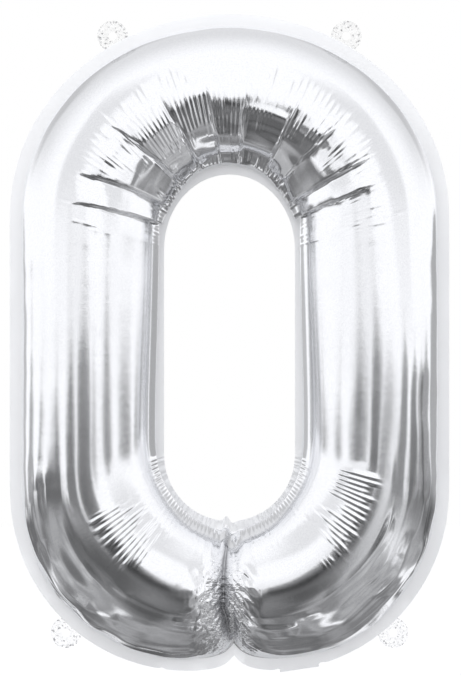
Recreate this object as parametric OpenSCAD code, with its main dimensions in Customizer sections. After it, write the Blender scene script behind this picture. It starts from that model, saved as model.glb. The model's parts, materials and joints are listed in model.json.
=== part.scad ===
/* [Balloon] */
// Overall width of the 0, seam edge to seam edge
body_w = 578; // [540:1:620]
// Overall height of the 0 without its tabs
body_h = 864; // [820:1:920]
// Height of the round crown, from the straight sides to the top
crown_h = 263; // [240:1:290]
// Height of the rounded base, from the straight sides to the bottom
base_h = 237; // [210:1:260]
// Half the width of the flat stretch along the bottom
base_flat = 58; // [40:1:70]

/* [Gap in the middle] */
// Width of the gap, seam edge to seam edge
gap_w = 172; // [150:1:190]
// Height of the gap's lowest point above the bottom
gap_z = 197; // [190:1:210]
// Height of the gap's highest point above the bottom
gap_top_z = 653; // [640:1:660]
// Height of the gap's round top
gap_crown_h = 98; // [85:1:110]
// Height of the gap's round base
gap_base_h = 87; // [75:1:100]

/* [Film and seams] */
// Thickness drawn for the foil film
film_t = 0.8; // [0.6:0.1:1.2]
// Width of the flat weld round the outside
outer_seam_w = 16; // [12:1:20]
// Width of the flat weld round the gap
inner_seam_w = 12; // [8:1:14]
// Depth of the inflated tube, from the seam to the front or the back
tube_depth = 87.5; // [80:0.5:92]

/* [Pinch at the bottom] */
// Where the pinch lies, to the right of the middle
pinch_x = 6; // [0:1:10]
// How far the outer seam is drawn up at the pinch
pinch_rise = 21; // [10:1:28]
// Share of the tube's depth lost at the pinch
pinch_depth = 0.3; // [0:0.05:0.4]

/* [Hanging tabs] */
// Radius of a tab's round outline
tab_r = 20; // [18:0.5:22]
// Radius of a tab's hole
tab_hole_r = 5.5; // [4.5:0.5:6.5]
// Distance from the seam edge to the centre of a tab's hole
tab_reach = 10; // [9:0.5:14]
// Thickness drawn for the clear tab film
tab_t = 0.6; // [0.4:0.1:0.6]
// Place of the top tabs, as an angle round the crown
tab_top_angle = 59; // [50:1:70]
// Place of the bottom tabs, as an angle round the base
tab_base_angle = 49; // [40:1:60]

/* [Fill neck and valve] */
// Place of the fill neck, as an angle round the base
neck_angle = 81.5; // [78:0.5:84]
// Width of the neck at its root
neck_w = 46; // [40:1:50]
// Width of the neck at its mouth
neck_mouth_w = 36; // [30:1:40]
// Length of the neck
neck_l = 60; // [45:1:70]
// How far the neck is folded back from hanging straight down, in degrees
neck_fold = 95; // [90:1:98]
// Thickness drawn for one valve film
valve_t = 0.3; // [0.2:0.05:0.3]
// Width of the valve where it enters through the seam
valve_w = 38; // [34:1:40]
// Width of the valve at its inner end
valve_tip_w = 26; // [22:1:30]
// Length of the valve inside the balloon, from the seam edge
valve_l = 140; // [110:1:150]

/* [Hidden] */
$fn = 96;

foil = [0.80, 0.81, 0.83];
foil_back = [0.72, 0.73, 0.76];
clear_film = [0.93, 0.95, 0.97, 0.45];
valve_film = [0.85, 0.88, 0.92, 0.6];

// Heights where the straight sides begin and end
side_z0 = base_h;
side_z1 = body_h - crown_h;
gap_side_z0 = gap_z + gap_base_h;
gap_side_z1 = gap_top_z - gap_crown_h;

// Stations round the 0, span by span, and points across half of the tube
side_steps = 9;
crown_steps = 24;
base_steps = 12;
tube_steps = 10;

// Share of the base's stations that go round its corner, before the flat stretch
corner_share = 0.8;
pinch_w = 15;

// The tabs' and the neck's hinge lines lie just beyond the seam edge, and their film starts beyond those
tab_hinge_gap = 0.8;
tab_root_gap = 0.7;
neck_hinge_gap = 0.6;
neck_root_gap = 2;
// How deep a tab or the valve is welded into the seam, and the play in its pocket
weld_in = 13;
pocket_play = 0.05;
corner_r = 4;

// A point, as [x, z], and its outward direction, as an angle from straight up towards +X
function crown_point(a) = [body_w / 2 * cos(a), side_z1 + crown_h * sin(a)];
function crown_turn(a) = atan2(cos(a) / (body_w / 2), sin(a) / crown_h);
function base_point(a) = [base_flat + (body_w / 2 - base_flat) * cos(a), side_z0 - base_h * sin(a)];
function base_turn(a) = 180 - atan2(cos(a) / (body_w / 2 - base_flat), sin(a) / base_h);
function mix(a, b, t) = a + (b - a) * t;
function flip(p) = [-p[0], p[1]];

// The outer seam edge on the base, from a side (t = 0) to the middle (t = 1)
function base_edge(t) =
    t <= corner_share ? base_point(90 * t / corner_share)
    : [base_flat * (1 - t) / (1 - corner_share), 0];
function pinched(p) = [p[0], p[1] + pinch_rise * exp(-abs(p[0] - pinch_x) / pinch_w)];
function gap_base_edge(t) = [gap_w / 2 * cos(90 * t), gap_side_z0 - gap_base_h * sin(90 * t)];

// The two seam edges, as matching lists, up the right side, over the crown, down the left and along the base
outer_edge = [
    for (i = [0 : side_steps - 1]) [body_w / 2, mix(side_z0, side_z1, i / side_steps)],
    for (i = [0 : crown_steps]) crown_point(180 * i / crown_steps),
    for (i = [1 : side_steps]) [-body_w / 2, mix(side_z1, side_z0, i / side_steps)],
    for (i = [1 : base_steps]) pinched(flip(base_edge(i / base_steps))),
    for (i = [base_steps - 1 : -1 : 1]) pinched(base_edge(i / base_steps))
];
inner_edge = [
    for (i = [0 : side_steps - 1]) [gap_w / 2, mix(gap_side_z0, gap_side_z1, i / side_steps)],
    for (i = [0 : crown_steps])
        [gap_w / 2 * cos(180 * i / crown_steps), gap_side_z1 + gap_crown_h * sin(180 * i / crown_steps)],
    for (i = [1 : side_steps]) [-gap_w / 2, mix(gap_side_z1, gap_side_z0, i / side_steps)],
    for (i = [1 : base_steps]) flip(gap_base_edge(i / base_steps)),
    for (i = [base_steps - 1 : -1 : 1]) gap_base_edge(i / base_steps)
];

// Half-width of the tube in the plane of the 0, and its depth, which the pinch takes a share of
function half_width(o, i) = (norm(o - i) - outer_seam_w - inner_seam_w) / 2;
function depth_at(o) =
    o[1] < base_h / 4 ? tube_depth * (1 - pinch_depth * exp(-pow((o[0] - pinch_x) / (1.5 * pinch_w), 2)))
    : tube_depth;

// One half of the section at a station, as [distance from the tube's centre, depth]
function half_section(a, b) = [
    [a + outer_seam_w, 0], [a + outer_seam_w, film_t], [a, film_t],
    for (k = [1 : tube_steps - 1]) [a * cos(180 * k / tube_steps), b * sin(180 * k / tube_steps)],
    [-a, film_t], [-a - inner_seam_w, film_t], [-a - inner_seam_w, 0], [-a + film_t, 0],
    for (k = [tube_steps - 1 : -1 : 1])
        [(a - film_t) * cos(180 * k / tube_steps), (b - film_t) * sin(180 * k / tube_steps)],
    [a - film_t, 0]
];
function station(o, i) =
    let (out = (o - i) / norm(o - i), a = half_width(o, i), centre = i + out * (inner_seam_w + a))
    [for (p = half_section(a, depth_at(o)))
        [centre[0] + out[0] * p[0], -p[1], centre[1] + out[1] * p[0]]];

// Heights are counted from the bottom of the 0; the origin is level with the top tabs' holes
hang_z = crown_point(tab_top_angle)[1] + tab_reach * cos(crown_turn(tab_top_angle));
module placed() {
    translate([0, 0, -hang_z]) children();
}

// Puts local +Z along the outward direction at a point of the outer seam edge
module at_edge(point, turn) {
    translate([point[0], 0, point[1]]) rotate([0, turn, 0]) children();
}
module at_top_tab(side) {
    at_edge([side * crown_point(tab_top_angle)[0], crown_point(tab_top_angle)[1]],
        side * crown_turn(tab_top_angle)) children();
}
module at_base_tab(side) {
    at_edge([side * base_point(tab_base_angle)[0], base_point(tab_base_angle)[1]],
        side * base_turn(tab_base_angle)) children();
}
module at_neck() {
    at_edge(base_point(neck_angle), base_turn(neck_angle)) children();
}
module at_every_tab() {
    for (side = [-1, 1]) {
        at_top_tab(side) children();
        at_base_tab(side) children();
    }
}

// A flat sheet drawn in X and Z, from depth y0 to y1
module sheet(y0, y1) {
    translate([0, y1, 0]) rotate([90, 0, 0]) linear_extrude(y1 - y0) children();
}

module panel_shell() {
    rings = [for (k = [0 : len(outer_edge) - 1]) station(outer_edge[k], inner_edge[k])];
    n = len(rings);
    m = len(rings[0]);
    polyhedron(
        points = [for (ring = rings) for (p = ring) p],
        faces = [
            for (j = [0 : n - 1]) for (i = [0 : m - 1])
                let (a = j * m + i, b = j * m + (i + 1) % m, c = ((j + 1) % n) * m + (i + 1) % m,
                    d = ((j + 1) % n) * m + i)
                each [[a, b, c], [a, c, d]]
        ],
        convexity = 6
    );
}

// The recesses in the seam that take the tabs' roots and the valve
module seam_pockets() {
    root_w = tab_root_w() + 2 * pocket_play;
    at_every_tab()
        translate([-root_w / 2, -tab_t / 2 - pocket_play, -weld_in - pocket_play])
            cube([root_w, tab_t + 2 * pocket_play, weld_in + 5]);
    at_neck()
        translate([-valve_w / 2 - pocket_play, -valve_t - pocket_play, -2 * outer_seam_w])
            cube([valve_w + 2 * pocket_play, 2 * valve_t + 2 * pocket_play, 2 * outer_seam_w + 5]);
}

module front_panel() {
    color(foil) placed() difference() {
        panel_shell();
        seam_pockets();
    }
}
module back_panel() {
    color(foil_back) placed() difference() {
        mirror([0, 1, 0]) panel_shell();
        seam_pockets();
    }
}

function tab_root_w() = 2 * sqrt(tab_r * tab_r - tab_reach * tab_reach);

// A round tab of clear film, cut straight at its root, with its hanging hole
module tab() {
    color(clear_film) sheet(-tab_t / 2, tab_t / 2) difference() {
        translate([0, tab_reach]) circle(tab_r);
        translate([0, tab_reach]) circle(tab_hole_r);
        translate([-tab_r, tab_hinge_gap + tab_root_gap - 2 * tab_r]) square(2 * tab_r);
    }
}
// The end of the tab's film that is welded between the two panels
module tab_root() {
    color(clear_film) sheet(-tab_t / 2, tab_t / 2)
        translate([-tab_root_w() / 2, -weld_in]) square([tab_root_w(), weld_in - pocket_play * 10]);
}

// Half of the valve: a film that runs from the seam edge up into the balloon, narrowing to a round end
module valve_half() {
    tip_z = -valve_l + valve_tip_w / 2;
    polygon([[-valve_w / 2, -pocket_play * 10], [-valve_w / 2, -1.5 * outer_seam_w], [-valve_tip_w / 2, tip_z],
        [valve_tip_w / 2, tip_z], [valve_w / 2, -1.5 * outer_seam_w], [valve_w / 2, -pocket_play * 10]]);
    intersection() {
        translate([0, tip_z]) circle(valve_tip_w / 2);
        translate([-valve_tip_w, tip_z - valve_tip_w]) square([2 * valve_tip_w, valve_tip_w]);
    }
}

// Stands at the neck's fold line, with local +Z along the folded neck
module at_folded_neck() {
    at_neck() translate([0, 0, neck_hinge_gap]) rotate([-neck_fold, 0, 0]) children();
}
module neck_outline(root_w, mouth_w, length) {
    polygon([[-root_w / 2, neck_root_gap], [root_w / 2, neck_root_gap],
        [mouth_w / 2, length - corner_r], [mouth_w / 2 - corner_r, length],
        [-mouth_w / 2 + corner_r, length], [-mouth_w / 2, length - corner_r]]);
}

module neck_front_ply() {
    color(foil) placed() at_folded_neck()
        sheet(-valve_t - film_t, -valve_t) neck_outline(neck_w, neck_mouth_w, neck_l);
}
module neck_back_ply() {
    color(foil_back) placed() at_folded_neck()
        sheet(valve_t, valve_t + film_t) neck_outline(neck_w, neck_mouth_w, neck_l);
}
module neck_valve_film(y0) {
    inset = 8;
    color(valve_film) placed() at_folded_neck()
        sheet(y0, y0 + valve_t) neck_outline(valve_w, neck_mouth_w - inset, neck_l - inset);
}

front_panel();
back_panel();
placed() at_top_tab(-1) tab();  // tab_top_left
placed() at_top_tab(1) tab();  // tab_top_right
placed() at_base_tab(-1) tab();  // tab_bottom_left
placed() at_base_tab(1) tab();  // tab_bottom_right
placed() at_top_tab(-1) tab_root();  // tab_root_top_left
placed() at_top_tab(1) tab_root();  // tab_root_top_right
placed() at_base_tab(-1) tab_root();  // tab_root_bottom_left
placed() at_base_tab(1) tab_root();  // tab_root_bottom_right
color(valve_film) placed() at_neck() sheet(-valve_t, 0) valve_half();  // valve_film_front
color(valve_film) placed() at_neck() sheet(0, valve_t) valve_half();  // valve_film_back
neck_front_ply();
neck_back_ply();
neck_valve_film(-valve_t);  // neck_valve_film_front
neck_valve_film(0);  // neck_valve_film_back
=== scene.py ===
"""A silver foil number balloon: an inflated 0 with four clear hanging tabs and a fill neck folded behind it.

Lengths in the constants are millimetres unless a name says otherwise; Blender's own units are metres.
A place on a panel is given by its station round the 0 and by its turn across the tube: 0 degrees at the outer
weld, 90 at the middle of the front or the back, and 180 at the inner weld.
"""

import json
import math

import bpy
import numpy as np
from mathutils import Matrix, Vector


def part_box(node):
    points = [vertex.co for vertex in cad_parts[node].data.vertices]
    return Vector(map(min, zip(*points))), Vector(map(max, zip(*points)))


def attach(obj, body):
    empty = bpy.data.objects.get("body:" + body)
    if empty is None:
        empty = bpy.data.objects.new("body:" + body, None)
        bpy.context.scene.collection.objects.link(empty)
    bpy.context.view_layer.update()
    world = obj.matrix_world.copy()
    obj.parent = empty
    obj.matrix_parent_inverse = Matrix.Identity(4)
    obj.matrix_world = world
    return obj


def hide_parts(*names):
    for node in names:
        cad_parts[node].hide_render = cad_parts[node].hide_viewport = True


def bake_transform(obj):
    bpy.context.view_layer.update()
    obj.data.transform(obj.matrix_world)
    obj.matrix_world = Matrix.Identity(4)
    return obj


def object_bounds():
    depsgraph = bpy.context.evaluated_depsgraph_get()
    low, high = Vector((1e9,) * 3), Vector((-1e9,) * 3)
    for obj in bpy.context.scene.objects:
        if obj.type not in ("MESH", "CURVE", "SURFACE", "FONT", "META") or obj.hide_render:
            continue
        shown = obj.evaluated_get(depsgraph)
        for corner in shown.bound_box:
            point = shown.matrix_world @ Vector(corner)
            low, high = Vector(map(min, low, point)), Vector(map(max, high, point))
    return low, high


MM = 0.001

# The 0's outlines, as the CAD model has them
BODY_W = 578
BODY_H = 864
CROWN_H = 263
BASE_H = 237
BASE_FLAT = 58
GAP_W = 172
GAP_Z = 197
GAP_TOP_Z = 653
GAP_CROWN_H = 98
GAP_BASE_H = 87
OUTER_SEAM = 16
INNER_SEAM = 12
PINCH_X = 6
PINCH_RISE = 21
PINCH_W = 15
CORNER_SHARE = 0.8

# Half the weld's thickness, the tube's half-depth, the tabs, the neck and the valve
SEAM_HALF = 0.38
TUBE_DEPTH = 87.3
TAB_R = 20
TAB_HOLE_R = 5.5
TAB_REACH = 10
TAB_FILM = 0.22
NECK_W = 46
NECK_MOUTH_W = 36
NECK_L = 60
NECK_FOLD = 95
VALVE_W = 38
VALVE_TIP_W = 26
VALVE_L = 140

# Small tucks in the outer weld beside the base's crease, by their distance to the right of the middle
NOTCHES = (-89, 64, 122)
NOTCH_DEPTH = 3.0
NOTCH_W = 2.5

# How finely the panels are drawn
SIDE_STATIONS = 56
CROWN_STATIONS = 400
BASE_STATIONS = 185
TUBE_ROWS = 96

# Columns across the two welds, as shares of their width from the tube, and how far each lies off the plane
# where the panels meet
OUTER_STEPS = np.array([[1.0, 1.0, 0.97, 0.8, 0.6, 0.4, 0.2, 0.05]])
OUTER_RISE = SEAM_HALF * np.array([[0, 1, 1, 1, 1, 1, 1, 1]])
INNER_STEPS = np.array([[0.06, 0.35, 0.7, 0.96, 1.0, 1.0]])
INNER_RISE = SEAM_HALF * np.array([[1, 1, 1, 1, 1, 0]])


# -------- numbers


def smooth(low, high, x):
    """0 below low, 1 above high, and a smooth rise between them."""
    t = np.clip((x - low) / (high - low), 0, 1)
    return t * t * (3 - 2 * t)


def window(x, a, b, soft):
    """1 between a and b, fading to 0 over soft on either side."""
    return smooth(a - soft, a, x) * (1 - smooth(b, b + soft, x))


def lattice(i, j, seed):
    """A fixed pseudo-random number from 0 to 1 for each pair of whole numbers."""
    n = (i.astype(np.int64) * 374761393 + j.astype(np.int64) * 668265263 + seed * 2147483647) & 0xFFFFFFFF
    n = ((n ^ (n >> 13)) * 1274126177) & 0xFFFFFFFF
    return ((n ^ (n >> 16)) & 0xFFFF) / 65535.0


def noise(x, y, seed):
    """Smooth noise from -1 to 1 with features about one unit across."""
    x, y = np.broadcast_arrays(x, y)
    i, j = np.floor(x), np.floor(y)
    u, v = x - i, y - j
    u, v = u * u * u * (u * (6 * u - 15) + 10), v * v * v * (v * (6 * v - 15) + 10)
    a, b = lattice(i, j, seed), lattice(i + 1, j, seed)
    c, d = lattice(i, j + 1, seed), lattice(i + 1, j + 1, seed)
    return 2 * ((a + (b - a) * u) * (1 - v) + (c + (d - c) * u) * v) - 1


# -------- the 0's outlines


def line(x, low, high, t):
    """A straight seam edge at x, from height low at t = 0 to height high at t = 1."""
    return np.stack([np.full_like(t, x), low + (high - low) * t], -1)


def crown_edge(width, z, height, degrees):
    """A seam edge over the crown, half an ellipse, from the right at 0 degrees to the left at 180."""
    a = np.radians(degrees)
    return np.stack([width / 2 * np.cos(a), z + height * np.sin(a)], -1)


def base_outer(t):
    """The outer edge of the base from its side (t = 0) to the middle (t = 1), on the right."""
    a = np.radians(90 * np.minimum(t / CORNER_SHARE, 1))
    x = BASE_FLAT + (BODY_W / 2 - BASE_FLAT) * np.cos(a)
    x = np.where(t > CORNER_SHARE, BASE_FLAT * (1 - t) / (1 - CORNER_SHARE), x)
    return np.stack([x, BASE_H - BASE_H * np.sin(a)], -1)


def base_inner(t):
    """The gap's edge at the base from its side (t = 0) to the middle (t = 1), on the right."""
    a = np.radians(90 * t)
    return np.stack([GAP_W / 2 * np.cos(a), GAP_Z + GAP_BASE_H * (1 - np.sin(a))], -1)


def eased(loop, reach):
    """A closed outline averaged a little along its length, so that its curvature changes gradually."""
    step = np.linalg.norm(np.roll(loop, -1, 0) - loop, axis=1)
    along = np.concatenate([[0], np.cumsum(step)])
    closed = np.concatenate([loop, loop[:1]])
    offsets = np.linspace(-2, 2, 33) * reach
    weights = np.exp(-((offsets / reach) ** 2) * 2)
    out = np.zeros_like(loop)
    for offset, weight in zip(offsets, weights / weights.sum()):
        at = (along[:-1] + offset) % along[-1]
        out += weight * np.stack([np.interp(at, along, closed[:, k]) for k in (0, 1)], -1)
    return out


class Stations:
    """Matching points on the two seam edges: up the right side, over, down the left and along the base.

    crown is the angle round the crown, 0 at the right and 180 at the left, and runs on down the sides.
    base is 0 where the base begins, 1 at its middle and negative up the sides. side is 1 right and -1 left.
    along is the distance round the middle of the tube, and notch the depth cut out of the outer weld's edge.
    """

    OUTER_EASE = 30.0
    INNER_EASE = 12.0
    OFF_CROWN = -400.0
    OFF_BASE = -2.0
    CROWN_RUN = 110.0
    BASE_RUN = 1.8

    def __init__(self):
        up = np.arange(SIDE_STATIONS) / SIDE_STATIONS
        over = np.linspace(0, 180, CROWN_STATIONS + 1)
        down = np.arange(1, SIDE_STATIONS + 1) / SIDE_STATIONS
        left = np.arange(1, BASE_STATIONS + 1) / BASE_STATIONS
        right = np.arange(BASE_STATIONS - 1, 0, -1) / BASE_STATIONS
        mirror = np.array([-1, 1])

        def loop(width, low, high, crown_height, base):
            return np.concatenate([
                line(width / 2, low, high, up), crown_edge(width, high, crown_height, over),
                line(-width / 2, high, low, down), base(left) * mirror, base(right)])

        outer = loop(BODY_W, BASE_H, BODY_H - CROWN_H, CROWN_H, base_outer)
        inner = loop(GAP_W, GAP_Z + GAP_BASE_H, GAP_TOP_Z - GAP_CROWN_H, GAP_CROWN_H, base_inner)
        self.outer = eased(outer, self.OUTER_EASE)
        self.inner = eased(inner, self.INNER_EASE)
        self.draw_up_base()

        off = np.full(len(left), self.OFF_CROWN)
        past = self.CROWN_RUN
        self.crown = np.concatenate([(up - 1) * past, over, 180 + down * past, off, off[:-1]])[:, None]
        past = self.BASE_RUN
        off = np.full(len(over), self.OFF_BASE)
        self.base = np.concatenate([-past * up, off, -past * (1 - down), left, right])[:, None]
        right_count = len(up) + len(over) // 2
        left_count = len(over) - len(over) // 2 + len(down) + len(left)
        self.side = np.repeat([1.0, -1.0, 1.0], [right_count, left_count, len(right)])[:, None]
        self.measure()

    def draw_up_base(self):
        """Draws both welds up at the base's crease, and cuts the small notches beside it."""
        x = self.outer[:, 0]
        low = self.outer[:, 1] < BASE_H / 4
        self.outer[:, 1] += low * PINCH_RISE * np.exp(-np.abs(x - PINCH_X) / PINCH_W)
        cuts = sum(low * NOTCH_DEPTH * np.exp(-np.abs(x - notch) / NOTCH_W) for notch in NOTCHES)
        self.notch = cuts[:, None]
        x = self.inner[:, 0]
        low = self.inner[:, 1] < GAP_Z + GAP_BASE_H / 4
        peak = 6.5 * np.exp(-(((x + 4) / 4) ** 2))
        dip = 2.5 * np.exp(-(((x - 5) / 5) ** 2))
        self.inner[:, 1] += low * (peak - dip)

    def measure(self):
        """Distances along the tube, from a point a little to the right of the base's middle."""
        middle = (self.outer + self.inner) / 2
        step = np.linalg.norm(np.roll(middle, -1, 0) - middle, axis=1)
        self.length = step.sum()
        along = np.concatenate([[0], np.cumsum(step[:-1])])
        start = along[2 * SIDE_STATIONS + CROWN_STATIONS + BASE_STATIONS + 13]
        self.along = ((along - start) % self.length)[:, None]


# -------- creases and puckers


# Long creases of the crown, each as the crown angle and the turn at its outer end, then at its inner end, and
# its height in millimetres. The back's creases fall between the front's.
FRONT_CREASES = [
    (15, 66, 21, 168, 1.5), (26, 62, 32, 168, 1.5), (44, 66, 48, 170, 1.9), (62, 68, 62, 172, 2.1),
    (83, 76, 82, 174, 2.1), (99, 76, 96, 170, 1.9), (117, 74, 112, 172, 2.1), (139, 73, 128, 178, 2.3),
    (160, 78, 148, 178, 1.6), (171, 84, 163, 168, 1.2),
]
BACK_CREASES = [
    (10, 80, 16, 168, 1.3), (23, 66, 28, 172, 1.7), (37, 70, 40, 172, 2.0), (55, 64, 56, 174, 2.2),
    (74, 72, 73, 176, 2.1), (91, 80, 90, 168, 1.7), (108, 70, 105, 174, 2.2), (126, 66, 121, 176, 2.2),
    (147, 72, 139, 176, 1.9), (165, 84, 157, 170, 1.4),
]


def pleats(place, turn, pitch, start, end, height, seed):
    """Short radial pleats, pitch apart along place, that begin near turn start and end near turn end."""
    x = place / pitch
    x = x + 0.28 * noise(x / 3, turn / 50, seed + 7)
    i = np.floor(x)
    zero = np.zeros_like(i)
    ridge = (0.5 - 0.5 * np.cos(2 * np.pi * (x - i))) ** 1.6
    strength = lattice(i, zero, seed) ** 1.4
    first = start + (end - start) * 0.35 * lattice(i, zero + 1, seed)
    last = end - (end - start) * 0.45 * lattice(i, zero + 2, seed)
    ramp = (last - first) * 0.3
    lasting = 1 - smooth(last - ramp, last, turn)
    return height * ridge * strength * smooth(first, first + ramp, turn) * lasting


def even_pleats(place, turn, pitch, start, end, height, seed):
    """Long regular radial pleats, all nearly as high as each other."""
    x = place / pitch + 0.15 * noise(place / pitch / 3, turn / 40, seed)
    i = np.floor(x)
    zero = np.zeros_like(i)
    ridge = (0.5 - 0.5 * np.cos(2 * np.pi * (x - i))) ** 1.3
    first = start + 12 * lattice(i, zero + 1, seed)
    last = end - 22 * lattice(i, zero + 2, seed)
    strength = 0.65 + 0.35 * lattice(i, zero, seed)
    return height * ridge * strength * smooth(first, first + 14, turn) * (1 - smooth(last - 16, last, turn))


# How far the inner ends of some facets stand up, in millimetres, and how much more or less than the rest some
# lean, both by the facet's number from the right
FACET_RISE = {1: 0.5, 2: 4.0, 5: 1.0, 6: 3.0, 7: 5.0, 8: 5.0, 9: 0.5}
FACET_LEAN = {0: 0.0, 1: 1.7, 2: 1.5, 6: 1.8, 8: 1.2, 9: 1.7, 10: 0.0}
LAST_FACET = 10

# Crown angles at which the first facet begins and the last one ends, on the straight sides
FACETS_FROM = -16
FACETS_TO = 196


def crown_radius(turn):
    """About how far the film lies from the crown's middle."""
    return 186 + 88 * np.cos(np.radians(turn))


def crease_line(turn, crease):
    """The crown angle that a crease lies at."""
    outer_angle, outer_turn, inner_angle, inner_turn, _ = crease
    share = np.clip((turn - outer_turn) / (inner_turn - outer_turn), -0.2, 1.1)
    return outer_angle + (inner_angle - outer_angle) * share


def long_crease(crown, turn, crease, seed):
    """One long radial crease: the film rises slowly to its lip, then drops into a narrow valley."""
    angle, start, _, end, height = crease
    wander = 0.5 * noise(turn / 14 + angle, 0 * turn, seed + int(angle))
    gap = np.radians(crown - crease_line(turn, crease) - wander) * crown_radius(turn)
    fade = smooth(start - 2, start + 34, turn) * (1 - smooth(end - 8, end + 2, turn))
    lip = np.exp(-np.abs(gap) / np.where(gap < 0, 4.5, 1.2))
    valley = np.exp(-(((gap - 1.8) / 1.1) ** 2))
    return height * fade * (0.5 * lip - 0.55 * valley)


def facet(number, low, high, crown, turn, seed):
    """The taut film between the creases at crown angles low and high: nearly flat, banded and leaning."""
    t = (crown - low) / (high - low)
    inside = (t >= 0) & (t < 1)
    t = np.clip(t, 0, 1)
    pillow = 4 * t * (1 - t)
    flat = 1 - np.abs(2 * t - 1) ** 14
    bands = noise(turn / 17 + 31 * number, 0.3 * t + number, seed + 50)
    bands = bands + 0.6 * noise(turn / 7 + 17 * number, t, seed + 60)
    from_top = (np.median(low) + np.median(high)) / 2 - 90
    chance = lattice(np.array([number]), np.array([3]), seed)[0] - 0.5
    lean = (t - 0.5) * (2.4 * chance + np.clip(from_top / 8, -3.8, 3.8)) * FACET_LEAN.get(number, 1)
    rise = FACET_RISE.get(number, 0) * smooth(88, 146, turn)
    uneven = 1.5 if 2 <= number <= LAST_FACET - 2 else 0.5
    grow = smooth(72, 110, turn) * (1 - smooth(150, 176, turn))
    if number == 0:
        grow = grow * 0.35 * smooth(0, 0.8, t)
    if number == LAST_FACET:
        grow = grow * 0.35 * (1 - smooth(0.2, 1, t))
    lift = grow * (1.3 * pillow + uneven * flat * bands + (lean + rise) * flat)
    if number in (0, LAST_FACET):
        lift = lift + straight_on(crown, turn)
    return inside * lift


def straight_on(crown, turn):
    """The dip that lets the side's film run straight on upwards to the crown's first or last crease."""
    past = np.radians(np.clip(np.where(crown < 90, crown, 180 - crown), 0, None))
    return np.minimum(np.cos(np.radians(turn)), 0) * crown_radius(turn) * past**2 / 2


def crown_pleats(crown, turn, seed):
    """Fine pleats round the crown: two outer rows, a row beside the gap, and long even ones near the top."""
    place = np.radians(crown) * 170
    near = np.radians(crown) * 92
    reach = 0.35 * window(crown, -4, 184, 6) + 0.65 * window(crown, 34, 148, 16)
    out = reach * pleats(place, turn, 7.0, 60, 106, 0.8, seed + 1)
    out += reach * pleats(place + 3, turn, 5.5, 80, 124, 0.5, seed + 2)
    out += reach * pleats(near, turn, 4.6, 136, 180, 0.9, seed + 3)
    return out + window(crown, 86, 134, 8) * even_pleats(place + 1, turn, 6.0, 74, 140, 0.42, seed + 4)


def crown_folds(stations, turn, creases, seed):
    """The crown's long radial creases, the taut facets between them and the fine pleats at their ends."""
    crown = stations.crown
    out = sum(long_crease(crown, turn, crease, seed) for crease in creases)
    lines = [crease_line(turn, crease) for crease in creases]
    lines = [FACETS_FROM + 0 * turn, *lines, FACETS_TO + 0 * turn]
    for number, (low, high) in enumerate(zip(lines, lines[1:])):
        out = out + facet(number, low, high, crown, turn, seed)
    return out + crown_pleats(crown, turn, seed)


def base_folds(stations, turn, seed):
    """Fine pleats at the gap's round base, and one group of pleats at each corner of the base."""
    base, side, place = stations.base, stations.side, stations.along
    inner = place * 0.45
    out = window(base, 0.02, 0.94, 0.08) * even_pleats(inner, turn, 4.4, 140, 196, 0.75, seed + 11)
    out += window(base, 0.1, 0.9, 0.1) * pleats(inner, turn, 6.5, 118, 165, 0.4, seed + 12)
    left = (side < 0) * window(base, 0.2, 0.47, 0.03)
    out += left * even_pleats(place, turn, 7.0, 78, 140, 1.3, seed + 13)
    right = (side > 0) * window(base, -0.02, 0.36, 0.03)
    out += right * even_pleats(place, turn, 7.4, 80, 134, 1.3, seed + 14)
    right = (side > 0) * window(base, 0.3, 0.46, 0.03)
    out += right * pleats(place, turn, 6.0, 80, 104, 0.5, seed + 15)
    return out


def weld_puckers(stations, turn, seed):
    """Broad shallow puckers beside the outer weld, strong round the base, and a tuck behind each notch."""
    base, place = stations.base, stations.along
    strength = 0.25 + 1.6 * smooth(-0.5, 0.4, base)
    tuck = np.zeros_like(turn + base)
    for notch in NOTCHES:
        gap = stations.outer[:, :1] - notch + 0.15 * turn * np.sign(notch)
        tuck -= (base > 0.2) * 2.2 * np.exp(-((gap / 3.0) ** 2)) * window(turn, 0, 4, 8)
    wide = noise(place / 46, turn / 40, seed + 21) * window(turn, 8, 42, 26)
    fine = noise(place / 21, turn / 22, seed + 22) * window(turn, 5, 20, 16)
    return strength * (1.9 * wide + 0.8 * fine) + tuck


def side_folds(stations, turn, seed):
    """Long shallow hollows down the straight sides, where the film is taut along the tube only."""
    place = stations.along / 800
    sides = smooth(0, 30, -stations.crown) + smooth(180, 210, stations.crown)
    base = stations.base
    on_base = base >= 0
    reach = np.where(on_base, 1 - smooth(0.1, 0.6, base), np.clip(sides, 0, 1))
    long_waves = noise(place, turn / 15, seed + 31) + 0.25 * noise(place * 1.6, turn / 7.5, seed + 32)
    return reach * window(turn, 12, 168, 12) * 0.32 * long_waves


def from_middle(stations):
    """Distance to the right of the base's middle along the outer weld, and a great distance off the base."""
    base = stations.base
    x = stations.side * BASE_FLAT * (1 - base) / (1 - CORNER_SHARE)
    return np.where(base > 0, x, 1e3)


def fold_line(turn):
    """Where the base's fold runs, by the same distance: it bows to the left between its two ends."""
    return PINCH_X - 17 * np.sin(np.radians(turn)) - 5 * smooth(90, 170, turn)


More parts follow.
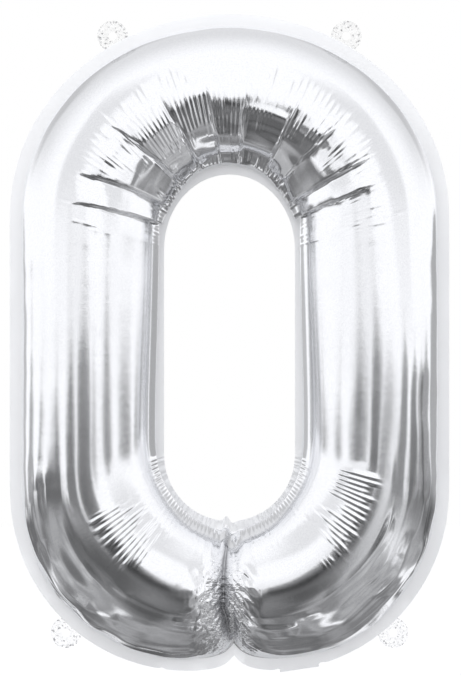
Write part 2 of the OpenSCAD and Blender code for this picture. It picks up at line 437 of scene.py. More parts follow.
def pinch(stations, turn, seed):
    """The deep crease at the middle of the base, with crumpled film on both its banks."""
    gap = from_middle(stations) - fold_line(turn) - 1.2 * noise(turn / 16, 0 * turn, seed + 41)
    gap = gap * (1 - 0.2 * smooth(30, 120, turn))
    depth = 32 * np.sin(np.radians(turn)) ** 0.45
    reach = np.where(gap < 0, 23, 24)
    groove = -depth * np.exp(-((np.abs(gap) / reach) ** 0.95))
    bank = np.exp(-(((np.abs(gap) - 0.8 * reach) / reach) ** 2))
    slant = turn + 0.5 * np.abs(gap)
    crumple = noise(gap / 12, slant / 4.4, seed + 42)
    crumple = crumple + 0.5 * noise(gap / 5 + turn / 6, slant / 3.0, seed + 43)
    return groove + bank * window(turn, 16, 106, 20) * 1.8 * crumple


def fold_shade(stations, turn):
    """How deep a point lies in the base's tight fold, from 0 to 1: the foil's colour is darkened there as
    painted shade, for the light lost between its walls.
    """
    gap = from_middle(stations) - fold_line(turn)
    return np.exp(-((gap / 7) ** 2)) * window(turn, 10, 172, 10)


def crumple_share(stations, turn):
    """Where the film beside the base's fold is finely crumpled, from 0 to 1."""
    gap = np.abs(from_middle(stations) - fold_line(turn))
    return (1 - smooth(22, 42, gap)) * window(turn, 14, 118, 20)


def broad_swell(stations, turn, seed):
    """Slow unevenness over the whole tube, so that no stretch is a perfect ring."""
    loop = 2 * np.pi * stations.along / stations.length
    x, y = np.cos(loop) * 1.2, np.sin(loop) * 1.2
    field = noise(x + turn / 60, y, seed + 71) + 0.3 * noise(2 * x, 2 * y + turn / 35, seed + 72)
    return 0.7 * field * np.sin(np.radians(turn))


def base_streaks(stations, turn, seed):
    """Long waves along the base's outer half, which draw the reflections out into streaks."""
    place = stations.along / 130
    reach = smooth(-0.3, 0.2, stations.base) * window(turn, 14, 66, 14)
    waves = noise(place, turn / 9, seed + 91) + 0.6 * noise(place * 1.5, turn / 4.5, seed + 92)
    spots = np.maximum(noise(place * 3.2, turn / 7, seed + 93) - 0.25, 0)
    return reach * (0.7 * waves + 3.2 * spots)


def side_swell(stations, turn):
    """The straight sides swell a little at mid-height, and the right one has a fuller outer shoulder."""
    middle = (stations.outer + stations.inner) / 2
    x, z = middle[:, :1], middle[:, 1:]
    height = np.clip((z - BODY_H * 0.485) / 270, -1, 1)
    straight = np.cos(np.pi / 2 * height) ** 2 * smooth(80, 150, np.abs(x))
    shoulder = 8.0 * np.exp(-(((turn - 50) / 30) ** 2)) * smooth(100, 160, x)
    return straight * (1.2 * np.sin(np.radians(turn)) + shoulder)


def inner_overhang(stations, turn):
    """The tube bulges over its inner weld: a little all round, more at the bottom and the crown's ends."""
    x, z = np.abs(stations.inner[:, :1]) / (GAP_W / 2), stations.inner[:, 1:]
    ends = smooth(0.25, 0.8, x) * smooth(GAP_TOP_Z - 330, GAP_TOP_Z - 70, z)
    bottom = smooth(-0.2, 0.4, stations.base)
    height = 0.8 + 2.2 * smooth(0.5, 0.9, x) + 4.5 * ends + 5.0 * bottom
    return height * smooth(120, 160, turn) * (1 - smooth(170, 180, turn))


def gap_pleats(stations, across, seed):
    """Fine pleats that run on across the inner weld at the bottom of the gap, 0 at the weld's root."""
    place = stations.along * 0.45 / 4.4 + 0.1 * across
    fold = np.abs(noise(place, 0 * across, seed)) + 0.5 * noise(2.1 * place, 0.6 * across, seed + 1)
    return window(stations.base, 0.02, 0.94, 0.08) * smooth(0, 0.4, across) * 1.3 * (fold - 0.3)


def weld_wave(stations, across):
    """How far the outer weld waves out of its plane, by the share across it from 0 at its root to 1."""
    place = stations.along
    strength = 0.35 + 1.3 * smooth(0.0, 0.5, stations.base)
    calm = np.ones_like(place)
    for point in calm_points():
        away = np.linalg.norm(stations.outer - point, axis=1)[:, None]
        calm = calm * smooth(24, 46, away)
    waves = noise(place / 38, 0 * across, 81) + 0.4 * noise(place / 15, across, 82)
    return calm * strength * across**1.5 * waves


def tube_lift(stations, turn, creases, seed):
    """How far the film stands out from the tube's smooth round section, all folds together."""
    folds = crown_folds(stations, turn, creases, seed)
    folds = folds + base_folds(stations, turn, seed) + side_folds(stations, turn, seed)
    lift = window(turn, 7, 173, 7) * folds + weld_puckers(stations, turn, seed) * smooth(0, 10, turn)
    lift += pinch(stations, turn, seed) + broad_swell(stations, turn, seed)
    lift += base_streaks(stations, turn, seed) + side_swell(stations, turn) + inner_overhang(stations, turn)
    return lift


# -------- places on the outer edge


def at_edge(point, turn_deg, height):
    """The point that lies height beyond an outer edge point, in the CAD's own plane."""
    t = math.radians(turn_deg)
    return np.array([point[0] + height * math.sin(t), point[1] + height * math.cos(t)])


def nearest_edge(x, z):
    """The outer edge point nearest to (x, z), and the outward turn there, clockwise from straight up."""
    edge = STATIONS.outer
    k = int(np.argmin(np.hypot(edge[:, 0] - x, edge[:, 1] - z)))
    ahead, behind = edge[(k + 2) % len(edge)], edge[k - 2]
    run = ahead - behind
    out = np.array([run[1], -run[0]])
    out = out if out @ (edge[k] - STATIONS.inner[k]) > 0 else -out
    return edge[k], math.degrees(math.atan2(out[0], out[1]))


def calm_points():
    """Where a tab or the neck leaves the weld, so that the weld lies flat there."""
    return [HOLES[name] for name in TAB_NAMES] + [NECK_ROOT]


# -------- meshes


def new_object(name, points, faces, materials=()):
    """A smooth-shaded mesh from points in millimetres and faces that all have the same number of corners."""
    mesh = bpy.data.meshes.new(name)
    mesh.vertices.add(len(points))
    mesh.vertices.foreach_set("co", (np.asarray(points) * MM).astype(np.float32).ravel())
    faces = np.asarray(faces)
    mesh.loops.add(faces.size)
    mesh.polygons.add(len(faces))
    mesh.loops.foreach_set("vertex_index", faces.ravel().astype(np.int32))
    mesh.polygons.foreach_set("loop_start", np.arange(0, faces.size, faces.shape[1], dtype=np.int32))
    mesh.polygons.foreach_set("use_smooth", np.ones(len(faces), bool))
    mesh.update(calc_edges=True)
    mesh.validate()
    for key in materials:
        mesh.materials.append(MATERIALS[key])
    obj = bpy.data.objects.new(name, mesh)
    bpy.context.scene.collection.objects.link(obj)
    return obj


def write_attribute(obj, key, values):
    """One number for each point of the mesh, for its material to read."""
    layer = obj.data.attributes.new(key, "FLOAT", "POINT")
    layer.data.foreach_set("value", np.asarray(values).ravel().astype(np.float32))


def grid_faces(rows, columns, close_rows=False, close_columns=False, reverse=False):
    """Quads over a grid of points stored row by row."""
    r = np.arange(rows if close_rows else rows - 1)
    c = np.arange(columns if close_columns else columns - 1)
    i, j = np.meshgrid(r, c, indexing="ij")
    i2, j2 = (i + 1) % rows, (j + 1) % columns
    quads = [i * columns + j, i * columns + j2, i2 * columns + j2, i2 * columns + j]
    quads = np.stack(quads, -1).reshape(-1, 4)
    return quads[:, ::-1] if reverse else quads


def to_row_frame(plane_x, depth, plane_z):
    """Points of the CAD's own plane, whose height starts at the 0's bottom, in the shared frame."""
    return np.stack([plane_x, depth, plane_z - HANG_Z], -1)


def panel(name, facing, creases, seed):
    """One foil panel: its half of the outer weld, half of the tube and its half of the inner weld.

    facing is -1 for the front and 1 for the back."""
    s = STATIONS
    spoke = s.outer - s.inner
    span = np.linalg.norm(spoke, axis=1)[:, None]
    out = spoke / span
    half = (span - OUTER_SEAM - INNER_SEAM) / 2
    centre = s.inner + out * (INNER_SEAM + half)

    turn = np.degrees(np.linspace(0, math.pi, TUBE_ROWS + 1))[None, :]
    angle = np.radians(turn)
    lift = tube_lift(s, turn, creases, seed)
    ridge_shift = 9 * smooth(-0.1, 0.45, s.base)
    tube_across = (half + lift) * np.cos(angle) - ridge_shift * np.sin(angle) ** 2
    tube_depth = SEAM_HALF + (TUBE_DEPTH - SEAM_HALF + lift) * np.sin(angle)
    outer_across = half + (OUTER_SEAM - s.notch) * OUTER_STEPS
    outer_depth = facing * OUTER_RISE + weld_wave(s, OUTER_STEPS)
    inner_across = -half - INNER_SEAM * INNER_STEPS
    inner_depth = facing * INNER_RISE + gap_pleats(s, INNER_STEPS, 95)

    across = np.concatenate([outer_across, tube_across, inner_across], 1)
    depth = np.concatenate([outer_depth, facing * tube_depth, inner_depth], 1)
    points = to_row_frame(centre[:, :1] + out[:, :1] * across, depth, centre[:, 1:] + out[:, 1:] * across)
    rows, columns = points.shape[:2]
    faces = grid_faces(rows, columns, close_rows=True, reverse=facing < 0)
    obj = new_object(name, points.reshape(-1, 3), faces, ("foil", "foil_weld"))

    first, last = OUTER_STEPS.size, OUTER_STEPS.size + TUBE_ROWS
    # fold_shade carries the painted shade of the base's tight fold; crumple drives only the foil's bump.
    for key, share in (("fold_shade", fold_shade(s, turn)), ("crumple", crumple_share(s, turn))):
        values = np.zeros((rows, columns))
        values[:, first:last + 1] = share
        write_attribute(obj, key, values)
    column = faces.min(1) % columns
    weld = (column < first) | (column >= last)
    obj.data.polygons.foreach_set("material_index", weld.astype(np.int32))
    return obj


# -------- materials


def material(name, settings):
    """A new material with these inputs of its shader set, its node tree and that shader."""
    made = bpy.data.materials.new(name)
    made.use_nodes = True
    shader = made.node_tree.nodes["Principled BSDF"]
    for key, value in settings.items():
        shader.inputs[key].default_value = value
    return made, made.node_tree, shader


def link(tree, out_socket, in_socket):
    """Joins one node's output to another's input."""
    tree.links.new(out_socket, in_socket)


def node(tree, kind, **settings):
    """A new node of a kind, with its settings."""
    made = tree.nodes.new(kind)
    for key, value in settings.items():
        setattr(made, key, value)
    return made


def noise_texture(tree, scale, detail=2.0, roughness=0.5, space="Object", mapping=None):
    """Soft noise from 0 to 1 in the object's metres or another space, stretched by a mapping if given."""
    coordinates = node(tree, "ShaderNodeTexCoord")
    made = node(tree, "ShaderNodeTexNoise")
    for key, value in (("Scale", scale), ("Detail", detail), ("Roughness", roughness)):
        made.inputs[key].default_value = value
    place = coordinates.outputs[space]
    if mapping is not None:
        link(tree, place, mapping.inputs["Vector"])
        place = mapping.outputs["Vector"]
    link(tree, place, made.inputs["Vector"])
    return made.outputs["Fac"]


def ranged(tree, value, low, high, to_low, to_high, kind="LINEAR"):
    """value moved from low..high onto to_low..to_high; each end is a number or a socket."""
    made = node(tree, "ShaderNodeMapRange", interpolation_type=kind)
    for key, number in (("From Min", low), ("From Max", high), ("To Min", to_low), ("To Max", to_high)):
        if isinstance(number, (int, float)):
            made.inputs[key].default_value = number
        else:
            link(tree, number, made.inputs[key])
    link(tree, value, made.inputs["Value"])
    return made.outputs["Result"]


def colour_mix(tree, factor, low, high):
    """The colour low where factor is 0 and high where it is 1; each is a socket or red, green and blue."""
    made = node(tree, "ShaderNodeMix", data_type="RGBA")
    for key, colour in (("A", low), ("B", high)):
        if isinstance(colour, tuple):
            made.inputs[key].default_value = (*colour, 1)
        else:
            link(tree, colour, made.inputs[key])
    link(tree, factor, made.inputs["Factor"])
    return made.outputs["Result"]


def bump(tree, shader, heights):
    """Chains bumps, each given as (height socket, strength, distance in metres)."""
    normal = None
    for height, strength, distance in heights:
        made = node(tree, "ShaderNodeBump")
        made.inputs["Strength"].default_value = strength
        made.inputs["Distance"].default_value = distance
        link(tree, height, made.inputs["Height"])
        if normal is not None:
            link(tree, normal, made.inputs["Normal"])
        normal = made.outputs["Normal"]
    link(tree, normal, shader.inputs["Normal"])


def foil_material():
    """Metallised film: near-mirror silver, finely grained, faintly marked, crumpled by the base's fold, with
    painted shade darkening its colour inside that fold.
    """
    made, tree, shader = material("foil", {"Metallic": 1.0})
    fleck = ranged(tree, noise_texture(tree, 900, 1.0), 0.3, 0.7, 0.0, 1.0)
    silver = colour_mix(tree, fleck, (0.84, 0.845, 0.865), (0.95, 0.955, 0.965))
    fold = node(tree, "ShaderNodeAttribute", attribute_name="fold_shade")
    # Painted shade: the colour darkens toward near-black deep in the base's tight fold.
    deep = ranged(tree, fold.outputs["Fac"], 0.0, 1.0, 0.0, 0.55)
    link(tree, colour_mix(tree, deep, silver, (0.16, 0.16, 0.17)), shader.inputs["Base Color"])
    marks = ranged(tree, noise_texture(tree, 14, 4, 0.6), 0.35, 0.7, 0.085, 0.145)
    link(tree, marks, shader.inputs["Roughness"])
    grain = noise_texture(tree, 1500, 1.0)
    ripple = noise_texture(tree, 130, 2.0)
    crumpled = node(tree, "ShaderNodeAttribute", attribute_name="crumple")
    stretched = node(tree, "ShaderNodeMapping")
    stretched.inputs["Scale"].default_value = (0.45, 0.45, 1.0)
    stretched.inputs["Rotation"].default_value = (0, math.radians(20), 0)
    hatch = noise_texture(tree, 330, 1.5, mapping=stretched)
    hatch = ranged(tree, hatch, 0.35, 0.65, 0.0, crumpled.outputs["Fac"])
    bump(tree, shader, [(grain, 0.10, 0.0002), (ripple, 0.06, 0.0006), (hatch, 0.42, 0.0016)])
    return made


def seam_material():
    """The pressed weld: the same film, flattened and duller, with the faint mottle of the sealing bar."""
    made, tree, shader = material("foil_weld", {"Metallic": 0.35, "Base Color": (0.95, 0.955, 0.965, 1)})
    mottle = noise_texture(tree, 420, 2.0)
    link(tree, ranged(tree, mottle, 0.3, 0.7, 0.34, 0.46), shader.inputs["Roughness"])
    bump(tree, shader, [(mottle, 0.12, 0.0004)])
    return made


def clear_film_material():
    """Clear film of the tabs: nearly invisible, with bright and dark flecks where it is crinkled, which are
    painted glints and painted shade.
    """
    made, tree, shader = material("tab_film", {"IOR": 1.46})
    crinkles = noise_texture(tree, 340, 2.0, 0.6)
    tone = noise_texture(tree, 260, 2.0)
    edge = node(tree, "ShaderNodeAttribute", attribute_name="edge")
    start = ranged(tree, edge.outputs["Fac"], 0.0, 1.0, 0.57, 0.49)
    # Where the film shows, its colour is painted: pale for painted glints and near-black for painted shade.
    glint_and_shade_specks = ranged(tree, crinkles, start, 0.70, 0.0, 1.0)
    share = ranged(tree, tone, 0.44, 0.60, 0.0, 1.0)
    tint = colour_mix(tree, share, (0.10, 0.10, 0.11), (0.80, 0.81, 0.82))
    link(tree, tint, shader.inputs["Base Color"])
    link(tree, ranged(tree, glint_and_shade_specks, 0.0, 1.0, 0.05, 0.62), shader.inputs["Alpha"])
    link(tree, ranged(tree, tone, 0.3, 0.7, 0.06, 0.25), shader.inputs["Roughness"])
    bump(tree, shader, [(tone, 0.5, 0.0008), (crinkles, 0.5, 0.0012)])
    return made


def valve_film_material():
    """Thin milky film of the valve."""
    milky = {"Base Color": (0.86, 0.89, 0.93, 1), "Transmission Weight": 0.6, "IOR": 1.5}
    made, tree, shader = material("valve_film", milky)
    cloud = noise_texture(tree, 160, 3.0)
    link(tree, ranged(tree, cloud, 0.3, 0.7, 0.25, 0.45), shader.inputs["Roughness"])
    bump(tree, shader, [(cloud, 0.2, 0.0004)])
    return made


# -------- tabs


# How deep a tab's root goes between the two panels, below the seam's edge
ROOT_DEPTH = 12.4

# How finely a tab is drawn, round its hole and outwards from it
TAB_AROUND = 200
TAB_STEPS = 26


def tab_extent(dx, dz):
    """How far the film runs from the hole's middle by direction: round when free, square at its root."""
    half_root = math.sqrt(TAB_R**2 - TAB_REACH**2) - 0.1
    to_side = half_root / np.maximum(np.abs(dx), 1e-9)
    to_root = (TAB_REACH + ROOT_DEPTH) / np.maximum(-dz, 1e-9)
    below = TAB_REACH + TAB_R * dz < 0
    return np.where(below, np.minimum(to_side, to_root), TAB_R)


def tab_crinkles(u, w, share, seed):
    """How far the free film stands out of its plane: dents, creases and a slow curl."""
    height = w + TAB_REACH
    free = smooth(0.5, 6, height)
    dents = noise(u / 3.0, w / 3.0, seed) + 0.8 * noise(u / 1.6 + 9, w / 1.6, seed + 1)
    creases = np.abs(noise(u / 4.5, w / 4.5, seed + 2))
    rim = smooth(0, 0.12, share) * (1 - 0.5 * smooth(0.9, 1, share))
    curl = 1.4 * noise(u / 22, w / 22, seed + 3) * smooth(3, 24, height)
    return free * (0.35 * dents * rim - 0.9 * creases * rim + curl)


def tab_film(name, seed):
    """One clear tab: its root between the two panels, its round free end and its hole."""
    root, turn_deg = nearest_edge(*HOLES[name])
    hole = at_edge(root, turn_deg, TAB_REACH)
    phi = np.linspace(0, 2 * math.pi, TAB_AROUND, endpoint=False)[:, None]
    dx, dz = np.sin(phi), np.cos(phi)
    share = np.linspace(0, 1, TAB_STEPS)[None, :] ** 1.1
    r = TAB_HOLE_R + (tab_extent(dx, dz) - TAB_HOLE_R) * share
    u, w = r * dx, r * dz
    lift = tab_crinkles(u, w, share, seed)
    t = math.radians(turn_deg)
    x = hole[0] + u * math.cos(t) + w * math.sin(t)
    z = hole[1] - u * math.sin(t) + w * math.cos(t)
    top = to_row_frame(x, lift - TAB_FILM / 2, z)
    under = to_row_frame(x, lift + TAB_FILM / 2, z)
    points = np.concatenate([top, under[:, ::-1]], 1)
    rows, columns = points.shape[:2]
    faces = grid_faces(rows, columns, close_rows=True, close_columns=True, reverse=True)
    obj = new_object("tab_film_" + name, points.reshape(-1, 3), faces, ["tab_film"])
    # The rim share, which lets the tab film's painted glints and painted shade crowd toward the rim.
    rim = smooth(0.55, 0.9, share + 0 * u)
    write_attribute(obj, "edge", np.concatenate([rim, rim[:, ::-1]], 1))
    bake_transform(obj)
    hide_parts("tab_" + name, "tab_root_" + name)


# -------- fill neck and valve


# The radius that the neck's middle folds round, how far off it the plies and the valve's films lie, and how
# thick they are drawn
FOLD_R = 0.9
PLY_OFFSET = 0.42
PLY_FILM = 0.16
VALVE_OFFSET = 0.14
VALVE_FILM = 0.1


class NeckPath:
    """The line that the neck and the valve follow: out through the weld and round the fold to behind it."""

    def __init__(self):
        self.root, turn_deg = nearest_edge(*NECK_ROOT)
        t = math.radians(turn_deg)
        self.out = np.array([math.sin(t), 0, math.cos(t)])
        self.wide = np.array([math.cos(t), 0, -math.sin(t)])
        self.back = np.array([0, 1, 0])

    def place(self, length, side, offset):
        """A point length along the path from the weld's edge, side across it, offset to the fold's inside."""
        fold = math.radians(NECK_FOLD)
        angle = np.clip(length / FOLD_R, 0, fold)
        before = np.minimum(length, 0)
        past = np.maximum(length - FOLD_R * fold, 0)
        along_out = before + FOLD_R * np.sin(angle) + past * math.cos(fold)
        along_back = FOLD_R * (1 - np.cos(angle)) + past * math.sin(fold)
        o = along_out + offset * np.sin(angle)
        b = along_back - offset * np.cos(angle)
        base = np.array([self.root[0], 0, self.root[1] - HANG_Z])
        return base + o[..., None] * self.out + b[..., None] * self.back + side[..., None] * self.wide

    def middle(self, length):
        """The point of the path's middle at a length, in metres."""
        return self.place(np.array(float(length)), np.array(0.0), 0.0) * MM


def neck_outline(length):
    """Half the neck's width at a length from the weld's edge: flared at the weld, clipped at the mouth."""
    flare = 3.2 * np.exp(-np.maximum(length, 0) / 3.5)
    taper = (NECK_W + (NECK_MOUTH_W - NECK_W) * np.clip(length / NECK_L, 0, 1)) / 2
    clip = 4 * smooth(NECK_L - 4.5, NECK_L, length)
    return taper + flare - clip


def neck_sway(length):
    """The slow wave along the loose part of the neck, which its four films share."""
    return smooth(1, 14, length) * 0.8 * np.sin(length / 14)


def strip(name, length, side, offset, ripple, film, materials):
    """A closed thin strip along the neck's path."""
    length = length + 0 * side
    upper, lower = (NECK.place(length, side, offset + ripple + level) for level in (film / 2, -film / 2))
    points = np.concatenate([upper, lower[:, ::-1]], 1)
    rows, columns = points.shape[:2]
    faces = grid_faces(rows, columns, close_columns=True)
    first = np.arange(columns // 2 - 1)
    caps = []
    for row, turned in ((0, True), (rows - 1, False)):
        quad = row * columns + np.stack([first, first + 1, columns - 2 - first, columns - 1 - first], -1)
        caps.append(quad[:, ::-1] if turned else quad)
    return new_object(name, points.reshape(-1, 3), np.concatenate([faces, *caps]), materials)


def neck_ply(name, facing, seed):
    """One foil ply of the neck, bulging a little away from the valve inside."""
    columns = 41
    lengths = np.concatenate([np.linspace(-1.5, 4, 16), np.linspace(4.6, NECK_L, 60)])
    half = neck_outline(lengths)
    share = np.linspace(-1, 1, columns)[None, :]
    side = half[:, None] * share
    length = lengths[:, None]
    wave = 0.35 * noise(side / 7, length / 22, 301) + 0.2 * noise(side / 3.2, length / 12, 302)
    bulge = 0.9 * (1 - share**2) * smooth(6, 40, length)
    uneven = 0.12 * noise(side / 2.6, length / 5, seed)
    ripple = smooth(1, 14, length) * (wave - facing * (bulge + uneven)) + neck_sway(length)
    obj = strip(name, length, side, -facing * PLY_OFFSET, ripple, PLY_FILM, ("foil", "foil_weld"))
    mark_neck_welds(obj)
    return obj


def mark_neck_welds(obj):
    """The neck's first few millimetres and its two long edges are welded flat."""
    count = len(obj.data.polygons)
    middle = np.empty(3 * count)
    obj.data.polygons.foreach_get("center", middle)
    gap = middle.reshape(-1, 3) - NECK.middle(0)
    side = np.abs(gap @ NECK.wide) / MM
    length = np.linalg.norm(gap - np.outer(gap @ NECK.wide, NECK.wide), axis=1) / MM
    welded = (length < 7) | (side > neck_outline(length) - 5)
    obj.data.polygons.foreach_set("material_index", welded.astype(np.int32))


def valve_strip(name, facing):
    """One film of the valve: round-ended deep inside the tube, widening, and running out into the neck."""
    columns = 15
    inside = np.linspace(-VALVE_L, -18, 40)
    lengths = np.concatenate([inside, np.linspace(-16, 4, 24), np.linspace(5, NECK_L - 8, 20)])
    tip = np.clip((lengths + VALVE_L) / (VALVE_TIP_W / 2), 0, 1)
    wide = VALVE_TIP_W + (VALVE_W - VALVE_TIP_W) * smooth(-VALVE_L + 10, -24, lengths)
    half = wide / 2 * np.sqrt(np.maximum(1 - (1 - tip) ** 2, 0.004))
    outside = np.clip(lengths / NECK_L, 0, 1)
    half = np.minimum(half, (VALVE_W - 10 * outside) / 2)
    share = np.linspace(-1, 1, columns)[None, :]
    length = lengths[:, None]
    bow = 1.6 * np.sin(length / 21) - facing * 0.5 * (1 - share**2)
    ripple = smooth(18, 60, -length) * bow + neck_sway(length)
    side = half[:, None] * share
    return strip(name, length, side, -facing * VALVE_OFFSET, ripple, VALVE_FILM, ["valve_film"])


def bend_with_neck(obj):
    """Applies the strip's object transform to its mesh; the strip already follows the neck's fold."""
    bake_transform(obj)


# -------- stage, light and camera


class Sky:
    """The studio that the foil reflects, as brightness by direction: white round and above, dark below."""

    def __init__(self, tree):
        self.tree = tree
        coordinates = node(tree, "ShaderNodeTexCoord")
        parts = node(tree, "ShaderNodeSeparateXYZ")
        link(tree, coordinates.outputs["Generated"], parts.inputs["Vector"])
        x, y, z = (parts.outputs[k] for k in "XYZ")
        degrees = 180 / math.pi
        self.elevation = self.times(self.maths("ARCSINE", z), degrees)
        ahead = self.times(y, -1.0)
        self.azimuth = self.times(self.maths("ARCTAN2", x, ahead), degrees)
        self.off_front = self.times(self.maths("ARCCOSINE", ahead), degrees)

    def maths(self, operation, *values):
        """One Math node; each value is a number or a socket."""
        made = node(self.tree, "ShaderNodeMath", operation=operation)
        for socket, value in zip(made.inputs, values):
            if isinstance(value, (int, float)):
                socket.default_value = value
            else:
                link(self.tree, value, socket)
        return made.outputs[0]

    def times(self, a, b):
        return self.maths("MULTIPLY", a, b)

    def plus(self, a, b):
        return self.maths("ADD", a, b)

    def minus(self, a, b):
        return self.maths("SUBTRACT", a, b)

    def step(self, value, low, high, to_low=0.0, to_high=1.0):
        """to_low where value is below low, to_high where it is above high, and a smooth rise between."""
        return ranged(self.tree, value, low, high, to_low, to_high, "SMOOTHSTEP")

    def away(self, azimuth):
        """Degrees of azimuth between this direction and another, from 0 to 180."""
        turned = self.maths("WRAP", self.minus(self.azimuth, azimuth), 180.0, -180.0)
        return self.maths("ABSOLUTE", turned)

    def mix(self, share, low, high):
        """low where share is 0 and high where it is 1."""
        rise = self.times(self.minus(high, low), share)
        return self.plus(low, rise)

    def patch(self, azimuth, half, elevation, tall):
        """1 inside a soft-edged patch of the sky and 0 outside."""
        across = self.step(self.away(float(azimuth)), float(half), half * 0.6)
        off = self.maths("ABSOLUTE", self.minus(self.elevation, float(elevation)))
        return self.times(across, self.step(off, float(tall), tall * 0.3))

    def darken(self, light, mask, share):
        """light with share of it taken where mask is 1."""
        return self.times(light, self.minus(1.0, self.times(mask, share)))


# Dark uprights round the studio: azimuth, elevation of the top, how fast each widens below it, its widest
# half-width and how dark it is
UPRIGHTS = [
    (-144, 4.0, 3.0, 12, 0.50), (-112, 0.5, 3.0, 9, 0.60), (-81, -1.4, 3.5, 9, 0.75),
    (-56, -1.6, 3.0, 9, 0.80), (-25, -0.2, 3.0, 10, 0.80), (-3, 1.2, 3.5, 8, 0.75),
    (13, -1.0, 3.0, 5, 0.40), (36, 0.8, 2.6, 8, 0.72), (62, -0.4, 3.0, 9, 0.75),
    (82, -0.8, 3.0, 8, 0.60), (99, 0.4, 5.0, 17, 0.65), (138, 5.0, 5.5, 18, 0.60),
    (180, 6.0, 8.0, 20, 0.50),
]

# Soft grey patches: azimuth, half-width, elevation, half-height, share taken
PATCHES = [
    (-18, 18, 1, 12, 0.10), (-146, 26, 28, 20, 0.25), (146, 26, 28, 20, 0.25), (-42, 18, 26, 30, 0.22),
    (42, 18, 26, 30, 0.22),
]

# Long low strip lamps: azimuth, half-length, elevation, half-height, brightness
STRIPS = [
    (48, 30, -56, 4.0, 0.9), (-70, 28, -54, 4.5, 0.9), (-135, 35, -34, 6.0, 0.8), (135, 35, -34, 6.0, 0.8),
    (34, 20, -17, 15, 0.35), (62, 22, -27, 6, 0.4),
]

# How bright the studio's white is
WHITE = 1.12


def floor_light(sky):
    """Brightness below the horizon: darkest ahead and a little left, paler low at the sides, and uneven."""
    core_x = sky.maths("DIVIDE", sky.plus(sky.azimuth, 18.0), 32.0)
    core_y = sky.maths("DIVIDE", sky.plus(sky.elevation, 25.0), 30.0)
    core = sky.plus(sky.times(core_x, core_x), sky.times(core_y, core_y))
    floor = sky.step(core, 0.75, 1.35, 0.13, 0.25)
    floor = sky.minus(floor, sky.step(sky.off_front, 80.0, 135.0, 0.0, 0.09))
    off = sky.away(0.0)
    beside = sky.times(sky.step(off, 34.0, 80.0), sky.step(off, 125.0, 100.0))
    beside = sky.times(beside, sky.step(sky.elevation, -60.0, -40.0))
    beside = sky.times(beside, sky.step(sky.elevation, -20.0, -36.0, 0.02, 0.13))
    clutter = noise_texture(sky.tree, 3.2, 3.0, 0.6, "Generated")
    clutter = ranged(sky.tree, clutter, 0.38, 0.66, 0.72, 1.9)
    return sky.times(sky.plus(floor, beside), clutter)


def over_horizon(sky):
    """0 below the horizon's soft edge and 1 above it; it is lower at the sides and on the front's left."""
    off = sky.away(0.0)
    drop = sky.step(sky.away(-24.0), 20.0, 6.0, 0.0, 6.0)
    low = sky.minus(sky.step(off, 12.0, 40.0, -9.0, -14.0), drop)
    high = sky.minus(sky.step(off, 12.0, 40.0, -1.0, -2.5), drop)
    return sky.step(sky.elevation, low, high)


def upright_mask(sky, azimuth, top, widening, widest):
    """1 inside one upright, which widens below its top and fades out near the floor."""
    below = sky.minus(float(top), sky.elevation)
    width = sky.maths("MINIMUM", sky.times(below, widening), float(widest))
    mask = sky.step(sky.minus(sky.away(float(azimuth)), width), 1.3, -1.3)
    mask = sky.times(mask, sky.step(below, -0.2, 0.7))
    return sky.times(mask, sky.step(sky.elevation, -18.0, -8.0))


def studio_light(sky):
    """The brightness of the whole studio by direction."""
    light = sky.mix(over_horizon(sky), floor_light(sky), WHITE)
    for azimuth, half, elevation, tall, glow in STRIPS:
        lamp = sky.times(sky.patch(azimuth, half, elevation, tall), glow)
        light = sky.plus(light, lamp)
    light = sky.maths("MINIMUM", light, WHITE)
    for azimuth, top, widening, widest, share in UPRIGHTS:
        light = sky.darken(light, upright_mask(sky, azimuth, top, widening, widest), share)
    behind = sky.step(sky.off_front, 66.0, 120.0)
    high_behind = sky.times(behind, sky.step(sky.elevation, 8.0, 30.0))
    light = sky.darken(light, high_behind, 0.27)
    for azimuth, half, elevation, tall, share in PATCHES:
        light = sky.darken(light, sky.patch(azimuth, half, elevation, tall), share)
    return light


def make_world():
    """The studio as the foil reflects it, and plain white where the camera looks past the balloon."""
    world = bpy.data.worlds.new("studio")
    world.use_nodes = True
    tree = world.node_tree
    tree.nodes.clear()
    sky = Sky(tree)
    light = studio_light(sky)
    seen = node(tree, "ShaderNodeBackground")
    seen.inputs["Color"].default_value = (1, 1, 1, 1)
    reflected = node(tree, "ShaderNodeBackground")
    tint = node(tree, "ShaderNodeCombineColor")
    for key, share in (("Red", 0.985), ("Green", 0.99), ("Blue", 1.01)):
        link(tree, sky.times(light, share), tint.inputs[key])
    link(tree, tint.outputs["Color"], reflected.inputs["Color"])
    path = node(tree, "ShaderNodeLightPath")
    pick = node(tree, "ShaderNodeMixShader")
    link(tree, path.outputs["Is Camera Ray"], pick.inputs["Fac"])
    link(tree, reflected.outputs["Background"], pick.inputs[1])
    link(tree, seen.outputs["Background"], pick.inputs[2])
    output = node(tree, "ShaderNodeOutputWorld")
    link(tree, pick.outputs["Shader"], output.inputs["Surface"])
    bpy.context.scene.world = world


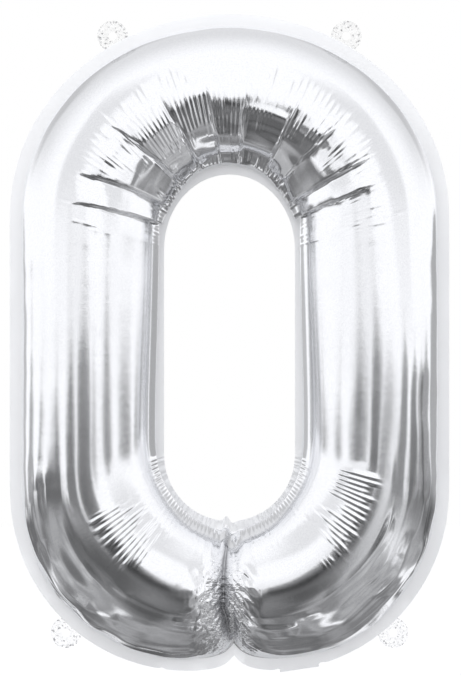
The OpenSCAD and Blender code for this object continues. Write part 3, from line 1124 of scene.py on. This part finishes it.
def make_stage(low, high):
    """A plain pale floor well below the balloon, and one soft lamp."""
    reach = 7.0
    drop = 0.35
    corners = reach * np.array([[-1, -1, 0], [1, -1, 0], [1, 1, 0], [-1, 1, 0]])
    floor = new_object("floor", (corners + [0, 0, low.z - drop]) / MM, [[0, 1, 2, 3]])
    pale = {"Base Color": (0.96, 0.96, 0.96, 1), "Roughness": 0.8}
    faint_glow = {"Emission Color": (1, 1, 1, 1), "Emission Strength": 0.12}
    floor.data.materials.append(material("pale_floor", {**pale, **faint_glow})[0])
    floor.visible_glossy = False
    lamp = bpy.data.lights.new("soft_key", "AREA")
    lamp.shape = "RECTANGLE"
    lamp.size, lamp.size_y = 2.4, 1.8
    lamp.energy = 22
    key = bpy.data.objects.new("soft_key", lamp)
    bpy.context.scene.collection.objects.link(key)
    key.location = (-1.2, -2.2, high.z + 1.6)
    aim = (low + high) / 2 - key.location
    key.rotation_euler = aim.to_track_quat("-Z", "Y").to_euler()
    key.visible_glossy = False


def make_camera(low, high):
    """Square on to the front, level with the middle of the 0 and as far off as its photographer stood."""
    distance = 3.2
    view_height = 0.889
    right, up = 0.0013, 0.007
    camera = bpy.data.objects.new("camera", bpy.data.cameras.new("camera"))
    bpy.context.scene.collection.objects.link(camera)
    middle = (low + high) / 2
    camera.location = (right, -distance, middle.z + up)
    camera.rotation_euler = (math.radians(90), 0, 0)
    camera.data.sensor_width = 36
    camera.data.lens = camera.data.sensor_width / 2 / (view_height / 2 / distance)
    bpy.context.scene.camera = camera


# -------- the scene


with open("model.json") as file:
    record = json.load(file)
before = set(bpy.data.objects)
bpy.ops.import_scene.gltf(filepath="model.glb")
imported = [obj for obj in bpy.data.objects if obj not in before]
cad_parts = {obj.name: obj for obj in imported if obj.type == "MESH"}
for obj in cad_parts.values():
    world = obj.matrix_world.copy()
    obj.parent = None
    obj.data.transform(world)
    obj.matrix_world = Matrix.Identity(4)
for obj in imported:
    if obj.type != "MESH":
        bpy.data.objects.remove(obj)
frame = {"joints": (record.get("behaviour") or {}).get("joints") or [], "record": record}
cad_low, cad_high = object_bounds()
HANG_Z = BODY_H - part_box("front_panel")[1].z / MM
STATIONS = Stations()


def in_plane(pos_m):
    """A place of the record, in the CAD's own plane."""
    return np.array([pos_m[0] / MM, pos_m[2] / MM + HANG_Z])


TAB_NAMES = ("top_left", "top_right", "bottom_left", "bottom_right")
MOUNTS = {mount["name"]: mount for mount in frame["record"]["mounts"]}
JOINTS = {joint["name"]: joint for joint in frame["joints"]}
HOLES = {name: in_plane(MOUNTS["hole_" + name]["pos_m"]) for name in TAB_NAMES}
NECK_ROOT = in_plane(JOINTS["neck_fold"]["pos_m"])
NECK = NeckPath()

MATERIALS = {
    "foil": foil_material(),
    "foil_weld": seam_material(),
    "tab_film": clear_film_material(),
    "valve_film": valve_film_material(),
}

for name, facing, creases, seed in (("front", -1, FRONT_CREASES, 100), ("back", 1, BACK_CREASES, 900)):
    foil = panel("foil_" + name, facing, creases, seed)
    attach(foil, "balloon")
    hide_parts(name + "_panel")
    ply = neck_ply("neck_foil_" + name, facing, seed)
    bend_with_neck(ply)
    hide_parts(f"neck_{name}_ply")
    film = valve_strip("valve_" + name, facing)
    bend_with_neck(film)
    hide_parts("valve_film_" + name, "neck_valve_film_" + name)

for number, name in enumerate(TAB_NAMES):
    tab_film(name, 500 + 10 * number)

make_world()
make_stage(cad_low, cad_high)
make_camera(cad_low, cad_high)
bpy.context.scene.view_settings.view_transform = "Standard"
